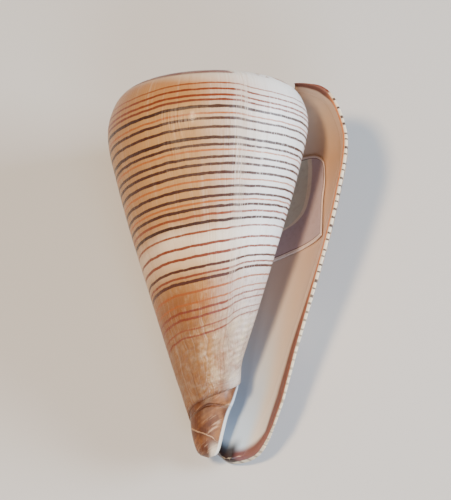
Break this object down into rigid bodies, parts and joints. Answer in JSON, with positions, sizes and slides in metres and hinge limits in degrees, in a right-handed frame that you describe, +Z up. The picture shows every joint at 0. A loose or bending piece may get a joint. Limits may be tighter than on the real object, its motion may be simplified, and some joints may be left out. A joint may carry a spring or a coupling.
{
  "type": "cone shell",
  "caption": "Cone-shaped coiled sea shell with a low top, rounded shoulder, long narrow opening and flared lip, lying on its back, with a blank paper label stuck inside the opening.",
  "frame": {"origin": "centre of the bounding box in X and Y, on the surface the shell lies on", "axes": "+Z up; +Y towards the wide top of the coil, -Y towards the narrow front end; +X towards the outer lip. The coil's own axis rises 14.6 degrees towards +Y, because the shell rests on its back and its widest turn"},
  "size_m": [0.0556, 0.0878, 0.0503],
  "materials": {
    "shell": "glossy cream and tan shell with thin brown bands",
    "label": "matt lilac-grey paper with a thin dark line round it"
  },
  "bodies": {
    "root": {"shell": "shell", "paper_label": "label"}
  },
  "joints": []
}
